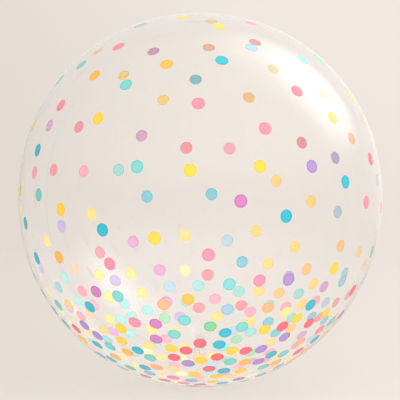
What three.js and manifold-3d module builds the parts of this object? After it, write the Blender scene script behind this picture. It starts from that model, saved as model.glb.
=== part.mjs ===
// Bubble balloon, blown up and tied off: one closed envelope that runs out into its tied neck.
// Millimetres, +Z up. The origin is the middle of the small flat spot that the balloon rests on.
// The crown is straight above it, and the neck is low on the back, towards +Y.

import * as THREE from "three";
import { mergeVertices } from "three/addons/utils/BufferGeometryUtils.js";
import Module from "manifold-3d";

// Inflated envelope
const WIDTH = 548; // across its widest level
const HEIGHT = 560; // from the flat spot up to the crown
const PRESSED_IN = 1.9; // how far the floor pushes the lowest point up, which makes the flat spot
const TAPER = 0.015; // share by which the crown half is fuller and the lower half slimmer
const SHOULDER = 0.021; // share by which both ends are fuller than an ellipse's
const ENVELOPE_SIDES = 64;
const ENVELOPE_LEVELS = 44;

// Tied neck, measured outwards from the envelope's surface along the neck's own axis
const NECK_ANGLE = 35; // degrees from straight down, towards the back
const FUNNEL_RADIUS = 20; // where the film starts to draw in
const FUNNEL_LENGTH = 14;
const THROAT_RADIUS = 7; // film gathered to a cord just inside the knot
const KNOT_RADIUS = 10.5;
const KNOT_LENGTH = 10;
const TAIL_RADIUS = 13; // mouth of the neck, spread out past the knot
const TAIL_LENGTH = 14;
const NECK_BURIED = 10; // how far the neck's core reaches into the envelope
const FUNNEL_BURIED = 2; // how far the funnel's rim lies under the envelope's surface
const PLEATS = 9;
const PLEAT_DEPTH = 0.16; // at the mouth, as a share of its radius
const SIDES_PER_PLEAT = 4;

const HALF_WIDTH = WIDTH / 2;
const HALF_HEIGHT = (HEIGHT + PRESSED_IN) / 2;
const CENTRE_HEIGHT = HALF_HEIGHT - PRESSED_IN;

// A point on the envelope's meridian, x outwards and y up, at an angle from the crown
function meridianPoint(angle) {
  const rise = Math.cos(angle);
  const fullness = 1 + TAPER * rise + SHOULDER * rise * rise;
  return new THREE.Vector2(
    HALF_WIDTH * Math.sin(angle) * fullness,
    CENTRE_HEIGHT + HALF_HEIGHT * rise,
  );
}

// The meridian from the middle of the flat spot, out to its rim and up to the crown
function envelopeProfile() {
  const rimAngle = Math.acos(-CENTRE_HEIGHT / HALF_HEIGHT);
  const profile = [new THREE.Vector2(0, 0)];
  for (let level = 0; level < ENVELOPE_LEVELS; level += 1) {
    profile.push(meridianPoint(rimAngle * (1 - level / ENVELOPE_LEVELS)));
  }
  profile[1].y = 0;
  profile.push(new THREE.Vector2(0, HEIGHT));
  return profile;
}

// Steps of one stretch of the neck: its radius follows shape(share) along its length
function neckStretch(start, length, steps, shape) {
  const points = [];
  for (let step = 1; step <= steps; step += 1) {
    const share = step / steps;
    points.push(new THREE.Vector2(shape(share), start + length * share));
  }
  return points;
}

// The neck from its buried core, along funnel, knot and tail, to the flat end of its mouth
function neckProfile() {
  const funnel = (share) =>
    THROAT_RADIUS + (FUNNEL_RADIUS - THROAT_RADIUS) * (1 - share) ** 2;
  const knot = (share) =>
    THROAT_RADIUS + (KNOT_RADIUS - THROAT_RADIUS) * Math.sin(Math.PI * share);
  const tail = (share) => THROAT_RADIUS + (TAIL_RADIUS - THROAT_RADIUS) * share ** 1.5;
  const rim = -FUNNEL_BURIED;
  const knotStart = FUNNEL_LENGTH;
  const tailStart = knotStart + KNOT_LENGTH;
  return [
    new THREE.Vector2(0, -NECK_BURIED),
    new THREE.Vector2(FUNNEL_RADIUS, rim),
    ...neckStretch(rim, FUNNEL_LENGTH - rim, 6, funnel),
    ...neckStretch(knotStart, KNOT_LENGTH, 6, knot),
    ...neckStretch(tailStart, TAIL_LENGTH, 5, tail),
    new THREE.Vector2(0, tailStart + TAIL_LENGTH),
  ];
}

// Gathers the tail into pleats that open towards the mouth
function pleatTail(geometry) {
  const tailStart = FUNNEL_LENGTH + KNOT_LENGTH;
  const position = geometry.attributes.position;
  for (let i = 0; i < position.count; i += 1) {
    const share = Math.max(0, (position.getY(i) - tailStart) / TAIL_LENGTH);
    const turn = Math.atan2(position.getZ(i), position.getX(i));
    const scale = 1 + PLEAT_DEPTH * share * Math.cos(PLEATS * turn);
    position.setX(i, position.getX(i) * scale);
    position.setZ(i, position.getZ(i) * scale);
  }
  return geometry;
}

// Stands the neck on the envelope, its axis square to the surface there
function placeNeck(geometry) {
  const lean = THREE.MathUtils.degToRad(NECK_ANGLE);
  const root = meridianPoint(Math.PI - lean);
  const outwards = new THREE.Vector3(0, root.x, root.y - CENTRE_HEIGHT).normalize();
  const turn = new THREE.Quaternion().setFromUnitVectors(new THREE.Vector3(0, 1, 0), outwards);
  geometry.applyQuaternion(turn);
  geometry.translate(0, root.x, root.y);
  return geometry;
}

const wasm = await Module();
wasm.setup();

function toManifold(geometry) {
  const bare = geometry.clone();
  bare.deleteAttribute("normal");
  bare.deleteAttribute("uv");
  const merged = mergeVertices(bare, 1e-4);
  return new wasm.Manifold(
    new wasm.Mesh({
      numProp: 3,
      vertProperties: new Float32Array(merged.attributes.position.array),
      triVerts: new Uint32Array(merged.index.array),
    }),
  );
}

function toGeometry(manifold) {
  const mesh = manifold.getMesh();
  const geometry = new THREE.BufferGeometry();
  geometry.setAttribute("position", new THREE.BufferAttribute(mesh.vertProperties, 3));
  geometry.setIndex(new THREE.BufferAttribute(mesh.triVerts, 1));
  geometry.computeVertexNormals();
  return geometry;
}

function makeEnvelope() {
  const body = new THREE.LatheGeometry(envelopeProfile(), ENVELOPE_SIDES);
  body.rotateX(Math.PI / 2);
  const neck = placeNeck(
    pleatTail(new THREE.LatheGeometry(neckProfile(), PLEATS * SIDES_PER_PLEAT)),
  );
  const clearFilm = new THREE.MeshStandardMaterial({
    name: "clear_film",
    color: 0xf4efe9,
    roughness: 0.08,
    metalness: 0,
    transparent: true,
    opacity: 0.35,
  });
  const mesh = new THREE.Mesh(toGeometry(toManifold(body).add(toManifold(neck))), clearFilm);
  mesh.name = "balloon_envelope";
  return mesh;
}

const balloon = new THREE.Group();
balloon.add(makeEnvelope());

export default balloon;
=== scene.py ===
"""A printed bubble balloon: clear blown-up film with its tied neck, confetti dots, and a plain studio."""

import math
import random

import bmesh
import bpy
import numpy as np
from mathutils import Matrix, Vector


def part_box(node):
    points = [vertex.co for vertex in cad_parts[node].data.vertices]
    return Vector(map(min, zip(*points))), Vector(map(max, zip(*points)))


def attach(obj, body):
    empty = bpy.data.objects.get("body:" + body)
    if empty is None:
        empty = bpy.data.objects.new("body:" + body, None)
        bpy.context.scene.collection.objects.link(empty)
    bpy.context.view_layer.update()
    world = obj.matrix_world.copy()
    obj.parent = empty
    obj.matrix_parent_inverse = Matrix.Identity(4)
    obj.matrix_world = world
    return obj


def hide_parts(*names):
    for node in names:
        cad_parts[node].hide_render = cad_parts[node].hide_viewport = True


bl_info = {
    "name": "Printed bubble balloon",
    "version": (1, 0, 0),
    "blender": (4, 5, 0),
    "location": "3D View > Sidebar > Balloon",
    "description": "Blows up a clear film balloon, prints its confetti dots and sets a plain studio round it",
    "category": "Add Mesh",
}

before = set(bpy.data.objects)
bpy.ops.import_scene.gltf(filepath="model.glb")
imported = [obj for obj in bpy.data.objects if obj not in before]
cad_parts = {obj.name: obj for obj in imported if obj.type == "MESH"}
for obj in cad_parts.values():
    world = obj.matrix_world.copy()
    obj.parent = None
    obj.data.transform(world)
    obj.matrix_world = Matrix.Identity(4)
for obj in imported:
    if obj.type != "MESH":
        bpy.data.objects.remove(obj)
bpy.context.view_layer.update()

NODE = "balloon_envelope"
FILM = "balloon_film"
LOW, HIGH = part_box(NODE)
MM = 0.001

# The envelope's form; its width and height come from the frame
HALF_WIDTH = (HIGH.x - LOW.x) / 2
PRESSED_IN = 1.9 * MM
HALF_HEIGHT = (HIGH.z - LOW.z + PRESSED_IN) / 2
CENTRE = Vector((0.0, 0.0, HIGH.z - HALF_HEIGHT))
TAPER = 0.015
SHOULDER = 0.021

# The flat spot that it rests on, with a little to spare round it and above it
SPOT_REACH = 34 * MM
SPOT_RISE = 0.4 * MM

# The neck leaves the envelope low on the back, where the balloon was filled and tied. Places along
# it are measured outwards from the envelope.
NECK_LEAN = math.radians(35)
NECK_AIM = Vector((0.0, math.sin(NECK_LEAN), -math.cos(NECK_LEAN)))
THROAT_RADIUS = 7 * MM
THROAT_AT = 12 * MM
PINCH_RADIUS = 0.9 * MM
KNOT_AT = 19 * MM
KNOT_RING = 5.6 * MM
KNOT_THICK = 4.6 * MM
MOUTH_RADIUS = 12 * MM
MOUTH_AT = 37.5 * MM

# The pleats of the gathered film: how deep they fold, as a share of the neck's radius, and how far
# the film is twisted, in radians, from the neck's root to its mouth
PLEATS = 9
FOLD_AT_ROOT = 0.06
FOLD_GATHERED = 0.56
FOLD_AT_MOUTH = 0.26
TWIST_AT_THROAT = 0.25
TWIST_AT_KNOT = 0.6
TWIST_AT_MOUTH = 0.1
MOUTH_WAVE = 1.5 * MM

# The creases that run out from the neck into the envelope, measured from the neck's axis
CREASE_DEPTH = 0.9 * MM
CREASES_FADE_FROM = 22 * MM
CREASES_FADE_OVER = 26 * MM
PLAIN_FILM_FROM = 50 * MM
NECK_SIDE = -50 * MM

# The knot: its ridges and its unevenness are shares of its thickness
KNOT_DRAWN_TIGHT = 0.96
KNOT_RIDGE = 0.055
KNOT_LOPSIDED = 0.06
KNOT_TILT = 0.9 * MM

# The film's net of faces: its pole is on the neck's axis, and the levels nearest to it are opened
SIDES = 144
LEVELS = 72
OPENED_LEVELS = 2
RINGS_TO_THROAT = 10
RINGS_TO_KNOT = 6
RINGS_TO_MOUTH = 16
KNOT_SIDES = 96
KNOT_TUBE_SIDES = 32
PUNCH_SIDES = 28
PUNCH_DEPTH = 0.1 * HALF_WIDTH
SHORTEST_EDGE = 0.02 * MM

# The film's material slots; each inner face of its wall is two slots past its outer one
CLEAR, INKED, CLEAR_INSIDE, INKED_INSIDE, GATHERED = range(5)

# Each ink's colour, and its share of the dots
INKS = {
    "yellow": ("#F7CC3F", 0.17),
    "pale_yellow": ("#F3D993", 0.06),
    "amber": ("#F7B848", 0.06),
    "peach": ("#F7AF81", 0.04),
    "rose": ("#E76578", 0.12),
    "pink": ("#F08AA6", 0.11),
    "orchid": ("#C87AB6", 0.05),
    "lavender": ("#A68ACB", 0.07),
    "teal": ("#28B4C8", 0.13),
    "turquoise": ("#79CAC8", 0.11),
    "mint": ("#7BC693", 0.04),
    "powder_blue": ("#98BDD2", 0.04),
}

# The scatter of dots: how many places are tried, and how far round the neck the film stays bare
PLACES_TRIED = 16000
BARE_ROUND_NECK = math.radians(8)

# A dot keeps between the least and the most of its spacing, by chance. Where the dots crowd, near and
# far ones give up this share of what they keep from each other.
LEAST_KEPT = 0.78
MOST_KEPT = 1.18
LET_OVERLAP = 0.6

# The balloon's front is looked at from this far above the horizon
FRONT_ELEVATION = math.radians(7)

# The floor is wide enough to run out of sight, and the camera sees past its far edge
FLOOR_SIZE = 80
FLOOR_GAP = 0.5 * MM
CAMERA_SEES = 200

# Linear colours of clear film and of the room's light
WHITE = (1, 1, 1, 1)
WARM_WHITE = (1, 0.95, 0.9, 1)


def linear(hex_colour):
    """An sRGB hex colour as the linear values that shaders take."""
    parts = [int(hex_colour[i : i + 2], 16) / 255 for i in (1, 3, 5)]
    return [c / 12.92 if c <= 0.04045 else ((c + 0.055) / 1.055) ** 2.4 for c in parts]


class FilmSettings(bpy.types.PropertyGroup):
    """The clear film."""

    wall: bpy.props.FloatProperty(
        name="Film thickness",
        description="Thicker than the real 0.05 mm, so that its two faces stay apart",
        default=0.25 * MM,
        unit="LENGTH",
    )
    haze: bpy.props.FloatProperty(
        name="Gloss spread",
        description="Roughness of the skin's gloss, which softens the lamps' reflections",
        default=0.18,
        subtype="FACTOR",
    )


class PrintSettings(bpy.types.PropertyGroup):
    """The confetti print."""

    dot: bpy.props.FloatProperty(
        name="Dot diameter",
        description="Width of each printed dot on the blown-up film",
        default=19 * MM,
        unit="LENGTH",
    )
    sparse: bpy.props.FloatProperty(
        name="Spacing above",
        description="Distance between neighbouring dots over the upper part",
        default=68 * MM,
        unit="LENGTH",
    )
    dense: bpy.props.FloatProperty(
        name="Spacing below",
        description="Distance between neighbouring dots at the bottom",
        default=24.5 * MM,
        unit="LENGTH",
    )
    crowd_top: bpy.props.FloatProperty(
        name="Crowding starts",
        description="Height at which the dots begin to crowd",
        default=258 * MM,
        unit="LENGTH",
    )
    crowd_bottom: bpy.props.FloatProperty(
        name="Crowding ends",
        description="Height below which they are as close as they get",
        default=66 * MM,
        unit="LENGTH",
    )
    between: bpy.props.FloatProperty(
        name="Near against far",
        description="Share of the spacing that near and far dots keep from each other, seen from the front",
        default=0.72,
        subtype="FACTOR",
    )
    front: bpy.props.FloatProperty(
        name="Front elevation",
        description="Angle above the horizon from which the balloon's front is looked at",
        default=FRONT_ELEVATION,
        subtype="ANGLE",
    )
    seed: bpy.props.IntProperty(
        name="Scatter",
        description="Number that the scatter of dots starts from",
        default=7,
    )


for ink, (shade, _) in INKS.items():
    PrintSettings.__annotations__[ink] = bpy.props.FloatVectorProperty(
        name=ink.replace("_", " ").capitalize(),
        description="Colour of this ink on the film",
        default=linear(shade),
        subtype="COLOR",
    )


class StageSettings(bpy.types.PropertyGroup):
    """The plain studio."""

    floor: bpy.props.FloatVectorProperty(
        name="Floor",
        description="What the floor gives back of the light on it, little enough to keep the shadow thin",
        default=linear("#302E2C"),
        subtype="COLOR",
    )
    glow_colour: bpy.props.FloatVectorProperty(
        name="Glow colour",
        description="Colour of the light that the pale floor gives by itself",
        default=linear("#F1E8DF"),
        subtype="COLOR",
    )
    glow: bpy.props.FloatProperty(
        name="Table glow",
        description="Light that the floor gives by itself, as a lit table does, which thins the shadow",
        default=0.76,
    )
    light: bpy.props.FloatProperty(
        name="Room light",
        description="Brightness of the pale room above and before the balloon",
        default=1.0,
    )
    softbox: bpy.props.FloatProperty(
        name="Softbox",
        description="Brightness of the softbox close to the balloon's upper right",
        default=4.3,
    )
    rim: bpy.props.FloatProperty(
        name="Rim light",
        description="Brightness of the panel behind to the right, which draws the thin bright rim",
        default=0.42,
    )
    card: bpy.props.FloatProperty(
        name="Reflector card",
        description="Brightness of the card lying before the balloon, which lights the dots from below",
        default=1.3,
    )
    camera_height: bpy.props.FloatProperty(
        name="Camera elevation",
        description="Angle of the camera above the horizon",
        default=FRONT_ELEVATION,
        subtype="ANGLE",
    )
    camera_distance: bpy.props.FloatProperty(
        name="Camera distance",
        description="From the camera to the balloon's middle",
        default=5.2,
        unit="LENGTH",
    )
    framed: bpy.props.FloatProperty(
        name="Framed height",
        description="Height that the picture takes in at the balloon's middle",
        default=0.602,
        unit="LENGTH",
    )


def select_nothing():
    """Leaves no object selected, so that an operator acts on the new one alone."""
    if bpy.context.object and bpy.context.object.mode != "OBJECT":
        bpy.ops.object.mode_set(mode="OBJECT")
    bpy.ops.object.select_all(action="DESELECT")


def activate(*pieces):
    """Selects these pieces alone, the last of them active."""
    select_nothing()
    for piece in pieces:
        piece.select_set(True)
    bpy.context.view_layer.objects.active = pieces[-1]


def select_faces(mesh, wanted):
    """In edit mode, selects the faces for which wanted holds, and nothing else."""
    bpy.context.tool_settings.mesh_select_mode = (False, False, True)
    bpy.ops.mesh.select_all(action="DESELECT")
    bm = bmesh.from_edit_mesh(mesh)
    for face in bm.faces:
        face.select_set(wanted(face))
    bmesh.update_edit_mesh(mesh)


def vertex_points(mesh):
    """The mesh's points, one per row."""
    points = np.empty(len(mesh.vertices) * 3)
    mesh.vertices.foreach_get("co", points)
    return points.reshape(-1, 3)


def unit(rows):
    """These rows, each brought to length 1."""
    return rows / np.linalg.norm(rows, axis=1)[:, None]


def eased(share):
    """This share of the way, from 0 to 1, with a soft start and a soft end."""
    return share * share * (3 - 2 * share)


def form(aims):
    """The envelope's surface points in these directions from its centre, one per row."""
    rise = aims[:, 2]
    fullness = 1 + TAPER * rise + SHOULDER * rise * rise
    across = HALF_WIDTH * fullness
    points = aims * np.column_stack([across, across, np.full(len(rise), HALF_HEIGHT)])
    points[:, 2] = np.maximum(points[:, 2] + CENTRE.z, LOW.z)
    return points


def form_normals(points):
    """The envelope's outward normals at these points on it or just inside, one per row."""
    rise = np.clip((points[:, 2] - CENTRE.z) / HALF_HEIGHT, -1, 1)
    fullness = 1 + TAPER * rise + SHOULDER * rise * rise
    swell = (1 - rise * rise) * (TAPER + 2 * SHOULDER * rise)
    scale = HALF_HEIGHT / (HALF_WIDTH * fullness)
    up = HALF_WIDTH * (rise * fullness - swell)
    return unit(np.column_stack([points[:, 0] * scale, points[:, 1] * scale, up]))


def neck_frame():
    """The neck's root on the envelope with its axis along +Z, for placing what the neck has."""
    root = Vector(form(np.array([NECK_AIM]))[0])
    return Matrix.Translation(root) @ (root - CENTRE).to_track_quat("Z", "X").to_matrix().to_4x4()


def seen_from_neck(points, frame_of_neck):
    """These points in the neck's own frame, and how far each is from its axis."""
    inverse = np.array(frame_of_neck.inverted())
    local = points @ inverse[:3, :3].T + inverse[:3, 3]
    return local, np.hypot(local[:, 0], local[:, 1])


def add_node(tree, kind, settings=None, links=None):
    """A new shader node with its settings, and its inputs linked or set."""
    node = tree.nodes.new(kind)
    for name, value in (settings or {}).items():
        setattr(node, name, value)
    for name, source in (links or {}).items():
        if isinstance(source, bpy.types.NodeSocket):
            tree.links.new(source, node.inputs[name])
        else:
            node.inputs[name].default_value = source
    return node


def bare_tree(owner):
    """Gives this material or world a node tree with nothing in it."""
    owner.use_nodes = True
    owner.node_tree.nodes.clear()
    return owner.node_tree


def new_material(name, inputs, build):
    """A Principled material with these inputs, and with those that the nodes of build feed."""
    material = bpy.data.materials.new(name)
    tree = bare_tree(material)
    shader = add_node(tree, "ShaderNodeBsdfPrincipled", links={**inputs, **build(tree)})
    add_node(tree, "ShaderNodeOutputMaterial", links={"Surface": shader.outputs["BSDF"]})
    return material


def uneven_roughness(tree, lump, smoothest, roughest, least=0.0, most=1.0):
    """Roughness that drifts over the surface in lumps of this size, and is held past least and most."""
    place = add_node(tree, "ShaderNodeTexCoord").outputs["Object"]
    lumps = add_node(tree, "ShaderNodeTexNoise", links={"Vector": place, "Scale": 1 / lump})
    drift = add_node(
        tree,
        "ShaderNodeMapRange",
        links={
            "Value": lumps.outputs["Fac"],
            "From Min": least,
            "From Max": most,
            "To Min": smoothest,
            "To Max": roughest,
        },
    )
    return drift.outputs["Result"]


def clear_film(name, smoothest, roughest, ripple, ripple_size, gloss):
    """Blown polyurethane film: colourless and glass-clear, its soft gloss wavering where it drew thinner."""

    def build(tree):
        # the film drew thinner in patches about this wide, where its gloss is a little softer
        patch = 35 * MM
        place = add_node(tree, "ShaderNodeTexCoord").outputs["Object"]
        ripples = add_node(
            tree,
            "ShaderNodeTexNoise",
            links={"Vector": place, "Scale": 1 / ripple_size, "Detail": 1.0},
        )
        bump = add_node(
            tree,
            "ShaderNodeBump",
            links={"Strength": 1.0, "Distance": ripple, "Height": ripples.outputs["Fac"]},
        )
        return {
            "Roughness": uneven_roughness(tree, patch, smoothest, roughest, least=0.35, most=0.65),
            "Normal": bump.outputs["Normal"],
        }

    # Polyurethane's index is about 1.5. The two here are matched to the object, whose film mirrors
    # less than a wall of 1.5 does in the render.
    return new_material(
        name,
        {
            "Base Color": WHITE,
            "IOR": 1.28,
            "Transmission Weight": 1.0,
            "Coat Weight": gloss,
            "Coat Roughness": bpy.context.scene.balloon_film.haze,
            "Coat IOR": 1.35,
        },
        build,
    )


def blown_film(name, gloss):
    """The film where the air holds it taut: smooth, with wide ripples that show only in its gloss."""
    return clear_film(
        name, smoothest=0.008, roughest=0.03, ripple=0.02 * MM, ripple_size=60 * MM, gloss=gloss
    )


def gathered_film(name):
    """The film of the knot, which was pulled tight and creased: cloudy, with ripples close together."""
    return clear_film(
        name, smoothest=0.12, roughest=0.3, ripple=0.3 * MM, ripple_size=3 * MM, gloss=0.4
    )


def printed_ink(name, paleness, see_through, painted_glow):
    """Flexographic ink on the film: satin, nearly opaque, and denser where it squeezed out at the rim.

    From behind it is paler, and it has a painted glow: an emission in the ink's own colour that brightens the
    far side's dots.
    """

    def build(tree):
        shade = add_node(tree, "ShaderNodeAttribute", {"attribute_name": "ink"}).outputs["Color"]
        across = add_node(tree, "ShaderNodeUVMap", {"uv_map": "dot"}).outputs["UV"]
        reach = add_node(tree, "ShaderNodeVectorMath", {"operation": "LENGTH"}, {0: across})
        # sockets 0, 6 and 7 are the share of the mix and its two colours
        paler = add_node(tree, "ShaderNodeMix", {"data_type": "RGBA"}, {0: paleness, 6: shade, 7: WHITE})
        # the rim is the outer quarter of the dot's radius
        density = add_node(
            tree,
            "ShaderNodeMapRange",
            links={
                "Value": reach.outputs["Value"],
                "From Min": 0.74,
                "From Max": 0.96,
                "To Min": 1.0,
                "To Max": 1.3,
            },
        )
        denser = add_node(
            tree,
            "ShaderNodeGamma",
            links={"Color": paler.outputs[2], "Gamma": density.outputs["Result"]},
        )
        # the ink's own grain, about 0.1 mm, is too fine to show, so it is drawn this coarse
        grain = 3 * MM
        return {
            "Base Color": denser.outputs["Color"],
            # the painted glow takes the ink's own colour
            "Emission Color": denser.outputs["Color"],
            "Roughness": uneven_roughness(tree, grain, smoothest=0.28, roughest=0.4),
        }

    return new_material(
        name,
        {"IOR": 1.5, "Transmission Weight": see_through, "Emission Strength": painted_glow},
        build,
    )


def round_skin():
    """The film before it is blown to its form: a round skin with the pole of its net at the neck."""
    select_nothing()
    bpy.ops.mesh.primitive_uv_sphere_add(
        segments=SIDES,
        ring_count=LEVELS,
        radius=HALF_WIDTH,
        location=CENTRE,
        rotation=(NECK_LEAN, 0, 0),
    )
    film = bpy.context.object
    film.name = film.data.name = FILM
    bpy.ops.object.transform_apply(location=True, rotation=True, scale=True)
    while film.data.uv_layers:
        film.data.uv_layers.remove(film.data.uv_layers[0])
    # in the order of the slots
    for material in (
        blown_film("clear_blown_film", gloss=0.2),
        printed_ink("printed_ink", paleness=0.0, see_through=0.15, painted_glow=0.0),
        blown_film("clear_blown_film_inside", gloss=0.0),
        # the ink seen from behind has a painted glow, which brightens the far side's dots
        printed_ink("printed_ink_from_behind", paleness=0.2, see_through=0.0, painted_glow=0.2),
        gathered_film("gathered_film"),
    ):
        film.data.materials.append(material)
    return film


def other_side(aim, sight):
    """The direction on the balloon's other side that is seen at the same place along this sight."""
    return aim - 2 * (aim @ sight) * sight


def scatter_dots(settings):
    """Directions and inks of the dots: sparse above and crowding to the bottom, clear of the neck."""
    chance = random.Random(settings.seed)
    names = list(INKS)
    shares = [share for _, share in INKS.values()]
    sight = np.array((0.0, -math.cos(settings.front), math.sin(settings.front)))
    neck = np.array(NECK_AIM)
    # the first dot stands before the knot, as seen from the front
    aims = np.array([other_side(neck, sight)])
    inks = ["rose"]
    for _ in range(PLACES_TRIED):
        rise = chance.uniform(-1, 1)
        turn = chance.uniform(0, math.tau)
        kept = chance.uniform(LEAST_KEPT, MOST_KEPT)
        ink = chance.choices(names, shares)[0]
        flat = math.sqrt(1 - rise * rise)
        aim = np.array([flat * math.cos(turn), flat * math.sin(turn), rise])
        height = CENTRE.z + HALF_HEIGHT * rise
        crowd = (settings.crowd_top - height) / (settings.crowd_top - settings.crowd_bottom)
        crowd = eased(min(max(crowd, 0), 1))
        apart = settings.sparse * (settings.dense / settings.sparse) ** crowd * kept
        if aim @ neck > math.cos(BARE_ROUND_NECK):
            continue
        if (aims @ aim).max() > math.cos(apart / HALF_WIDTH):
            continue
        # as seen from the front, the dots of the near side stand between those of the far side
        between = apart * settings.between * (1 - LET_OVERLAP * crowd)
        if (aims @ other_side(aim, sight)).max() > math.cos(between / HALF_WIDTH):
            continue
        aims = np.vstack([aims, aim])
        inks.append(ink)
    return aims, inks


def cut_outlines(film, aims, dot):
    """Cuts the outline of each dot into the skin's faces with a round punch, so its edge is crisp."""
    select_nothing()
    bpy.ops.mesh.primitive_cylinder_add(
        vertices=PUNCH_SIDES, radius=dot / 2, depth=PUNCH_DEPTH, end_fill_type="NOTHING"
    )
    punch = bpy.context.object
    for slot in (CLEAR, INKED):
        punch.data.materials.append(film.data.materials[slot])
    punch.data.polygons.foreach_set("material_index", [INKED] * len(punch.data.polygons))
    punches = []
    for aim in aims:
        copy = punch.copy()
        copy.data = punch.data.copy()
        bpy.context.collection.objects.link(copy)
        turn = Vector(aim).to_track_quat("Z", "X")
        copy.matrix_world = Matrix.LocRotScale(CENTRE + Vector(aim) * HALF_WIDTH, turn, None)
        punches.append(copy)
    bpy.data.objects.remove(punch)
    activate(*punches, film)
    bpy.ops.object.join()
    bpy.ops.object.mode_set(mode="EDIT")
    select_faces(film.data, lambda face: face.material_index == INKED)
    bpy.ops.mesh.intersect(mode="SELECT_UNSELECT", separate_mode="NONE", solver="EXACT")
    select_faces(film.data, lambda face: face.material_index == INKED)
    bpy.ops.mesh.delete(type="FACE")
    bpy.ops.mesh.select_all(action="DESELECT")
    bpy.ops.mesh.select_loose()
    bpy.ops.mesh.delete(type="VERT")
    bpy.ops.mesh.select_all(action="SELECT")
    bpy.ops.mesh.dissolve_degenerate(threshold=SHORTEST_EDGE)
    bpy.ops.mesh.quads_convert_to_tris(quad_method="BEAUTY", ngon_method="BEAUTY")
    bpy.ops.object.mode_set(mode="OBJECT")


def print_dots(film, aims, inks, settings):
    """Gives the faces inside the outlines their ink; where dots overlap, their inks multiply."""
    mesh = film.data
    corners = np.empty(len(mesh.loops), np.int32)
    mesh.loops.foreach_get("vertex_index", corners)
    rays = unit(vertex_points(mesh) - np.array(CENTRE))
    triangles = rays[corners].reshape(-1, 3, 3)
    inside = unit(triangles.mean(axis=1)) @ aims.T > math.cos(settings.dot / 2 / HALF_WIDTH)
    printed = inside.any(axis=1)
    mesh.polygons.foreach_set("material_index", np.where(printed, INKED, CLEAR).astype(np.int32))
    shades = np.array([tuple(getattr(settings, ink)) for ink in inks])
    colours = np.ones((len(triangles), 4))
    for row in np.nonzero(printed)[0]:
        colours[row, :3] = np.prod(shades[inside[row]], axis=0)
    layer = mesh.color_attributes.new("ink", "FLOAT_COLOR", "CORNER")
    layer.data.foreach_set("color", np.repeat(colours, 3, axis=0).ravel())
    # each dot's own flat map, from -1 to 1 across it
    own = aims[inside.argmax(axis=1)]
    across = unit(np.cross(own, (0.0, 0.0, 1.0)))
    along = np.cross(own, across)
    scale = HALF_WIDTH / (settings.dot / 2)
    flat = np.stack(
        [np.einsum("fcx,fx->fc", triangles, side) * scale for side in (across, along)], axis=-1
    )
    flat_map = mesh.uv_layers.new(name="dot")
    flat_map.data.foreach_set("uv", flat.ravel())


def blow_up(film):
    """Opens the skin at its neck and swells the round skin to the envelope's form."""
    activate(film)
    bpy.ops.object.mode_set(mode="EDIT")
    rim = math.cos(OPENED_LEVELS * math.pi / LEVELS)
    select_faces(
        film.data, lambda face: (face.calc_center_median() - CENTRE).normalized().dot(NECK_AIM) > rim
    )
    bpy.ops.mesh.delete(type="FACE")
    bpy.ops.object.mode_set(mode="OBJECT")
    rays = unit(vertex_points(film.data) - np.array(CENTRE))
    film.data.vertices.foreach_set("co", form(rays).ravel())
    film.data.update()


def fold(turn):
    """How far the gathered film folds in at this turn round the neck, from 0 on a crest to 1.

    The deep pleats are unevenly wide and lie among finer ones, so that no two look alike.
    """
    uneven = turn + 0.16 * np.sin(2 * turn + 0.6) + 0.1 * np.sin(3 * turn + 2.1)
    deep = 0.5 - 0.5 * np.cos(PLEATS * uneven)
    fine = 0.5 - 0.5 * np.cos((2 * PLEATS + 1) * turn + 1.3)
    deep_share = 0.78
    return deep * deep_share + fine * (1 - deep_share)


def crease_body(film, frame_of_neck):
    """Lets the neck's pleats run out into the envelope round it as shallow creases."""
    points = vertex_points(film.data)
    local, away = seen_from_neck(points, frame_of_neck)
    near = eased(1 - np.clip((away - CREASES_FADE_FROM) / CREASES_FADE_OVER, 0, 1))
    near *= local[:, 2] > NECK_SIDE
    depth = CREASE_DEPTH * near * fold(np.arctan2(local[:, 1], local[:, 0]))
    film.data.vertices.foreach_set("co", (points - form_normals(points) * depth[:, None]).ravel())
    film.data.update()


def steps(count):
    """The ends of this many equal steps from 0 to 1."""
    return [step / count for step in range(1, count + 1)]


def bend(t, start, start_handle, end_handle, end):
    """The value at t on the smooth curve from start to end that these two handles pull on."""
    a, b, c, d = (1 - t) ** 3, 3 * t * (1 - t) ** 2, 3 * t * t * (1 - t), t**3
    return a * start + b * start_handle + c * end_handle + d * end


def neck_rings(start_radius, start_at):
    """Radius, distance out, fold depth and twist of each ring of film, from the envelope to the mouth."""
    # the film is drawn in before it turns outwards, so that it leaves the envelope in a small round
    drawn_in = 0.48 * start_radius
    hardly_out = 0.4 * MM
    part_way_out = 0.4 * THROAT_AT
    # the mouth opens a little faster at first than a quarter of a wave does
    flare_power = 0.85
    rings = []
    for t in steps(RINGS_TO_THROAT):
        radius = bend(t, start_radius, drawn_in, THROAT_RADIUS, THROAT_RADIUS)
        out = bend(t, start_at, hardly_out, part_way_out, THROAT_AT)
        depth = FOLD_AT_ROOT + (FOLD_GATHERED - FOLD_AT_ROOT) * t * t
        rings.append((radius, out, depth, TWIST_AT_THROAT * t * t))
    for t in steps(RINGS_TO_KNOT):
        ease = 0.5 + 0.5 * math.cos(math.pi * t)
        radius = PINCH_RADIUS + (THROAT_RADIUS - PINCH_RADIUS) * ease
        out = THROAT_AT + (KNOT_AT - THROAT_AT) * t
        twist = TWIST_AT_THROAT + (TWIST_AT_KNOT - TWIST_AT_THROAT) * t
        rings.append((radius, out, FOLD_GATHERED, twist))
    for t in steps(RINGS_TO_MOUTH):
        flare = math.sin(math.pi / 2 * t) ** flare_power
        radius = PINCH_RADIUS + (MOUTH_RADIUS - PINCH_RADIUS) * flare
        out = KNOT_AT + (MOUTH_AT - KNOT_AT) * t
        depth = FOLD_GATHERED + (FOLD_AT_MOUTH - FOLD_GATHERED) * t
        twist = TWIST_AT_KNOT + (TWIST_AT_MOUTH - TWIST_AT_KNOT) * t
        rings.append((radius, out, depth, twist))
    return rings


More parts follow.
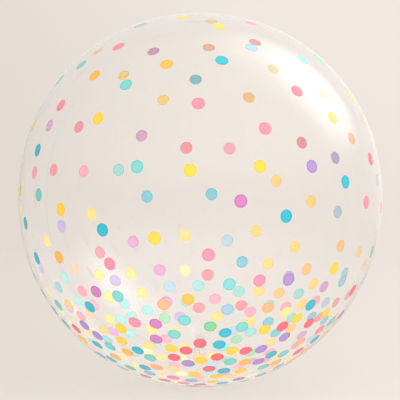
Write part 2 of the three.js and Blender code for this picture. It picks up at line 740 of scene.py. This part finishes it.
def draw_out_neck(film, frame_of_neck):
    """Extrudes the opening ring by ring into the gathered neck and its flared mouth."""
    activate(film)
    bpy.ops.object.mode_set(mode="EDIT")
    bpy.context.tool_settings.mesh_select_mode = (False, True, False)
    bpy.ops.mesh.select_all(action="DESELECT")
    inverse = frame_of_neck.inverted()
    bm = bmesh.from_edit_mesh(film.data)
    for edge in bm.edges:
        edge.select_set(edge.is_boundary)
    opening = [inverse @ vert.co for vert in bm.verts if vert.select]
    start_radius = sum(math.hypot(place.x, place.y) for place in opening) / len(opening)
    start_at = sum(place.z for place in opening) / len(opening)
    bmesh.update_edit_mesh(film.data)
    turned = 0.0
    for radius, out, depth, twist in neck_rings(start_radius, start_at):
        past_knot = max(0.0, (out - KNOT_AT) / (MOUTH_AT - KNOT_AT))
        bpy.ops.mesh.extrude_edges_move()
        bm = bmesh.from_edit_mesh(film.data)
        for vert in bm.verts:
            if vert.select:
                place = inverse @ vert.co
                turn = math.atan2(place.y, place.x) - turned
                drawn = radius * (1 - depth * fold(turn))
                # the mouth's edge waves up and down four times round
                wave = past_knot**2 * MOUTH_WAVE * math.sin(4 * turn + 0.7)
                angle = turn + twist
                vert.co = frame_of_neck @ Vector(
                    (drawn * math.cos(angle), drawn * math.sin(angle), out + wave)
                )
        bmesh.update_edit_mesh(film.data)
        turned = twist
    bpy.ops.object.mode_set(mode="OBJECT")


def give_wall(film, thickness):
    """Gives the skin its thickness inwards; the wall's inner faces take the slots past the outer ones."""
    activate(film)
    wall = film.modifiers.new("wall", "SOLIDIFY")
    wall.thickness = thickness
    wall.offset = -1
    wall.material_offset = CLEAR_INSIDE - CLEAR
    bpy.ops.object.modifier_apply(modifier=wall.name)


def tie_knot(film, frame_of_neck):
    """Ties the neck: one tight turn of the gathered film round itself."""
    select_nothing()
    bpy.ops.mesh.primitive_torus_add(
        major_segments=KNOT_SIDES,
        minor_segments=KNOT_TUBE_SIDES,
        major_radius=KNOT_RING,
        minor_radius=KNOT_THICK,
    )
    knot = bpy.context.object
    for vert in knot.data.vertices:
        turn = math.atan2(vert.co.y, vert.co.x)
        middle = Vector((math.cos(turn), math.sin(turn), 0)) * KNOT_RING
        spoke = vert.co - middle
        round_tube = math.atan2(spoke.z, math.hypot(vert.co.x, vert.co.y) - KNOT_RING)
        # seven broad ridges and twelve fine ones wind round the turn of film
        broad = math.cos(7 * round_tube + 2 * turn) * 0.5
        fine = math.cos(12 * round_tube + 3 * turn + 1) * 0.25
        thickness = KNOT_DRAWN_TIGHT + KNOT_LOPSIDED * math.cos(turn - 0.8) + KNOT_RIDGE * (broad + fine)
        vert.co = middle + spoke * thickness
        vert.co.z += KNOT_TILT * math.sin(turn)
    knot.matrix_world = frame_of_neck @ Matrix.Translation((0, 0, KNOT_AT))
    knot.data.materials.append(film.data.materials[GATHERED])
    bpy.ops.object.transform_apply(location=True, rotation=True, scale=True)
    activate(knot, film)
    bpy.ops.object.join()


def smooth_skin(film, frame_of_neck):
    """Shades the body by the form's true normals, so that the cut outlines don't show in the gloss."""
    activate(film)
    bpy.ops.object.shade_smooth()
    mesh = film.data
    points = vertex_points(mesh)
    own = np.empty(len(points) * 3)
    mesh.vertices.foreach_get("normal", own)
    own = own.reshape(-1, 3)
    local, away = seen_from_neck(points, frame_of_neck)
    on_spot = (points[:, 2] < LOW.z + SPOT_RISE) & (np.hypot(points[:, 0], points[:, 1]) < SPOT_REACH)
    on_body = ((away > PLAIN_FILM_FROM) | (local[:, 2] < NECK_SIDE)) & ~on_spot
    true = form_normals(points)
    # the wall's inner faces look the other way
    side = np.sign(np.einsum("ij,ij->i", own, true))
    true *= np.where(side == 0, 1, side)[:, None]
    mesh.normals_split_custom_set_from_vertices(np.where(on_body[:, None], true, own).tolist())


class BALLOON_OT_make_film(bpy.types.Operator):
    """Blows up the clear film, prints its dots, and draws out and ties its neck"""

    bl_idname = "balloon.make_film"
    bl_label = "Make the printed film"

    def execute(self, context):
        scene = context.scene
        film = round_skin()
        aims, inks = scatter_dots(scene.balloon_print)
        cut_outlines(film, aims, scene.balloon_print.dot)
        print_dots(film, aims, inks, scene.balloon_print)
        blow_up(film)
        frame_of_neck = neck_frame()
        crease_body(film, frame_of_neck)
        draw_out_neck(film, frame_of_neck)
        give_wall(film, scene.balloon_film.wall)
        tie_knot(film, frame_of_neck)
        smooth_skin(film, frame_of_neck)
        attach(film, "root")
        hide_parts(NODE)
        return {"FINISHED"}


def matt_paper(stage):
    """White paper over a lit table: matt, so it mirrors nothing, and glowing, so its shadows are thin."""

    def build(tree):
        """The glow rises gently to the right, and slightly towards the front."""
        place = add_node(tree, "ShaderNodeTexCoord").outputs["Object"]
        along = add_node(
            tree, "ShaderNodeVectorMath", {"operation": "DOT_PRODUCT"}, {0: place, 1: (1, 0.08, 0)}
        )
        rightwards = add_node(
            tree,
            "ShaderNodeMapRange",
            links={
                "Value": along.outputs["Value"],
                "From Min": -1.2,
                "From Max": 0.9,
                "To Min": 0.84 * stage.glow,
                "To Max": 1.14 * stage.glow,
            },
        )
        depth = add_node(tree, "ShaderNodeSeparateXYZ", links={0: place}).outputs["Y"]
        forwards = add_node(
            tree,
            "ShaderNodeMapRange",
            links={"Value": depth, "From Min": -1.5, "From Max": 1.5, "To Min": 1.14, "To Max": 1.0},
        )
        glow = add_node(
            tree,
            "ShaderNodeMath",
            {"operation": "MULTIPLY"},
            {0: rightwards.outputs["Result"], 1: forwards.outputs["Result"]},
        )
        return {"Emission Strength": glow.outputs[0]}

    inputs = {
        "Base Color": (*stage.floor, 1),
        "Roughness": 0.9,
        "Emission Color": (*stage.glow_colour, 1),
    }
    return new_material("matt_paper_floor", inputs, build)


def lay_floor(stage):
    """A wide floor just under the balloon, so that the two don't lie in one plane."""
    select_nothing()
    bpy.ops.mesh.primitive_plane_add(size=FLOOR_SIZE, location=(0, 0, LOW.z - FLOOR_GAP))
    floor = bpy.context.object
    floor.name = "studio_floor"
    floor.data.materials.append(matt_paper(stage))


def pale_room(stage):
    """The room round the balloon: bright above and before it, and a low even glow along the horizon."""
    world = bpy.data.worlds.new("studio")
    tree = bare_tree(world)
    aim = add_node(tree, "ShaderNodeTexCoord").outputs["Generated"]
    axes = add_node(tree, "ShaderNodeSeparateXYZ", links={0: aim}).outputs
    # above, it is brightest before the balloon and a little to the right
    towards = add_node(
        tree, "ShaderNodeVectorMath", {"operation": "DOT_PRODUCT"}, {0: aim, 1: (0.15, -0.6, 0.1)}
    )
    before = add_node(
        tree,
        "ShaderNodeMapRange",
        links={
            "Value": towards.outputs["Value"],
            "From Min": -0.35,
            "From Max": 0.5,
            "To Min": 0.1 * stage.light,
            "To Max": 1.25 * stage.light,
        },
    )
    above = add_node(
        tree,
        "ShaderNodeMapRange",
        links={"Value": axes["Z"], "From Min": 0.0, "From Max": 0.42, "To Min": 0.0, "To Max": 1.0},
    )
    ceiling = add_node(
        tree,
        "ShaderNodeMath",
        {"operation": "MULTIPLY"},
        {0: before.outputs["Result"], 1: above.outputs["Result"]},
    )
    # the horizon is brighter to the right, and nearer to the viewer
    rightwards = add_node(
        tree,
        "ShaderNodeMapRange",
        links={"Value": axes["X"], "From Min": -0.8, "From Max": 0.8, "To Min": 0.6, "To Max": 0.9},
    )
    forwards = add_node(
        tree,
        "ShaderNodeMapRange",
        links={"Value": axes["Y"], "From Min": -0.9, "From Max": 0.1, "To Min": 1.14, "To Max": 1.0},
    )
    level = add_node(
        tree,
        "ShaderNodeMath",
        {"operation": "MULTIPLY_ADD"},
        {0: rightwards.outputs["Result"], 1: forwards.outputs["Result"], 2: ceiling.outputs[0]},
    )
    light = add_node(
        tree, "ShaderNodeBackground", links={"Color": WARM_WHITE, "Strength": level.outputs[0]}
    )
    add_node(tree, "ShaderNodeOutputWorld", links={"Surface": light.outputs[0]})
    return world


def aim_from_balloon(view_from, from_camera, turn):
    """A direction from the balloon: so far from the camera's, turned round it from the right."""
    right = Vector((1, 0, 0))
    up = view_from.cross(right).normalized()
    away = right * math.cos(turn) + up * math.sin(turn)
    return view_from * math.cos(from_camera) + away * math.sin(from_camera)


def lit_cloth(name, strength):
    """A softbox's thin white cloth: it glows softly, fades to its edges, and lets other light by."""
    material = bpy.data.materials.new(name)
    tree = bare_tree(material)
    # the panel's own coordinates run from -1 to 1 across it
    place = add_node(tree, "ShaderNodeTexCoord").outputs["Object"]
    axes = add_node(tree, "ShaderNodeSeparateXYZ", links={0: place})
    fades = []
    for axis in "XY":
        off_middle = add_node(tree, "ShaderNodeMath", {"operation": "ABSOLUTE"}, {0: axes.outputs[axis]})
        fade = add_node(
            tree,
            "ShaderNodeMapRange",
            {"interpolation_type": "SMOOTHSTEP"},
            {"Value": off_middle.outputs[0], "From Min": 0, "From Max": 1, "To Min": 1, "To Max": 0},
        )
        fades.append(fade.outputs["Result"])
    shape = add_node(tree, "ShaderNodeMath", {"operation": "MULTIPLY"}, {0: fades[0], 1: fades[1]})
    power = add_node(tree, "ShaderNodeMath", {"operation": "MULTIPLY"}, {0: shape.outputs[0], 1: strength})
    light = add_node(tree, "ShaderNodeEmission", links={"Strength": power.outputs[0]})
    clear = add_node(tree, "ShaderNodeBsdfTransparent")
    cloth = add_node(tree, "ShaderNodeAddShader", links={0: light.outputs[0], 1: clear.outputs[0]})
    add_node(tree, "ShaderNodeOutputMaterial", links={"Surface": cloth.outputs[0]})
    return material


def softbox(name, aim, reach, size, strength):
    """A large soft panel of light in this direction from the balloon, hidden from the camera itself."""
    select_nothing()
    bpy.ops.mesh.primitive_plane_add(size=2)
    panel = bpy.context.object
    panel.name = name
    panel.scale = (size[0] / 2, size[1] / 2, 1)
    panel.location = CENTRE + aim * reach
    panel.rotation_euler = aim.to_track_quat("Z", "Y").to_euler()
    panel.visible_camera = False
    panel.data.materials.append(lit_cloth(name, strength))
    return panel


def hang_softboxes(stage, view_from):
    """A softbox and its dimmer neighbour above, close to the balloon's upper right."""
    softbox(
        "key_softbox",
        aim_from_balloon(view_from, from_camera=math.radians(95), turn=math.radians(40)),
        reach=0.76,
        size=(0.72, 0.78),
        strength=stage.softbox,
    )
    share_of_key = 0.4
    softbox(
        "upper_softbox",
        aim_from_balloon(view_from, from_camera=math.radians(94), turn=math.radians(60)),
        reach=0.76,
        size=(0.84, 0.84),
        strength=share_of_key * stage.softbox,
    )


def set_rim_panel(stage, view_from):
    """A dim panel behind to the right, which the film mirrors at its edge and doesn't show through."""
    panel = softbox(
        "rim_softbox",
        aim_from_balloon(view_from, from_camera=math.radians(160), turn=math.radians(48)),
        reach=1.28,
        size=(3.0, 2.0),
        strength=stage.rim,
    )
    panel.visible_transmission = False


def lay_card(stage):
    """A bright card that lies before the balloon, low down, and lights its dots from below."""
    low_front = Vector((0, -0.75, -0.27))
    card = softbox(
        "reflector_card",
        low_front.normalized(),
        reach=low_front.length,
        size=(2.6, 1.8),
        strength=stage.card,
    )
    card.rotation_euler = (0, 0, 0)
    card.visible_transmission = False


def set_camera(stage, view_from):
    """The camera, far enough back to see the balloon without distortion."""
    bpy.ops.object.camera_add(location=CENTRE + view_from * stage.camera_distance)
    camera = bpy.context.object
    camera.name = "camera"
    camera.rotation_euler = view_from.to_track_quat("Z", "Y").to_euler()
    camera.data.lens = camera.data.sensor_width * stage.camera_distance / stage.framed
    camera.data.clip_end = CAMERA_SEES
    bpy.context.scene.camera = camera


class BALLOON_OT_set_stage(bpy.types.Operator):
    """Sets the plain pale floor, the soft studio light and the camera"""

    bl_idname = "balloon.set_stage"
    bl_label = "Set the studio"

    def execute(self, context):
        scene = context.scene
        stage = scene.balloon_stage
        view_from = Vector((0, -math.cos(stage.camera_height), math.sin(stage.camera_height)))
        lay_floor(stage)
        scene.world = pale_room(stage)
        hang_softboxes(stage, view_from)
        set_rim_panel(stage, view_from)
        lay_card(stage)
        set_camera(stage, view_from)
        scene.view_settings.view_transform = "Standard"
        return {"FINISHED"}


class BALLOON_PT_panel(bpy.types.Panel):
    """Lists the balloon's steps and their sizes"""

    bl_idname = "BALLOON_PT_panel"
    bl_label = "Balloon"
    bl_space_type = "VIEW_3D"
    bl_region_type = "UI"
    bl_category = "Balloon"

    def draw(self, context):
        scene = context.scene
        for settings in (scene.balloon_film, scene.balloon_print, scene.balloon_stage):
            box = self.layout.box()
            for prop in settings.__annotations__:
                box.prop(settings, prop)
        for step in (BALLOON_OT_set_stage, BALLOON_OT_make_film):
            self.layout.operator(step.bl_idname)


CLASSES = (
    FilmSettings,
    PrintSettings,
    StageSettings,
    BALLOON_OT_set_stage,
    BALLOON_OT_make_film,
    BALLOON_PT_panel,
)


def register():
    """Registers the classes and hangs the settings on the scene."""
    for cls in CLASSES:
        bpy.utils.register_class(cls)
    bpy.types.Scene.balloon_film = bpy.props.PointerProperty(type=FilmSettings)
    bpy.types.Scene.balloon_print = bpy.props.PointerProperty(type=PrintSettings)
    bpy.types.Scene.balloon_stage = bpy.props.PointerProperty(type=StageSettings)


def unregister():
    """Takes away what register adds."""
    del bpy.types.Scene.balloon_stage
    del bpy.types.Scene.balloon_print
    del bpy.types.Scene.balloon_film
    for cls in reversed(CLASSES):
        bpy.utils.unregister_class(cls)


def main():
    """Sets the stage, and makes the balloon."""
    register()
    bpy.ops.balloon.set_stage()
    bpy.ops.balloon.make_film()


if __name__ == "__main__":
    main()
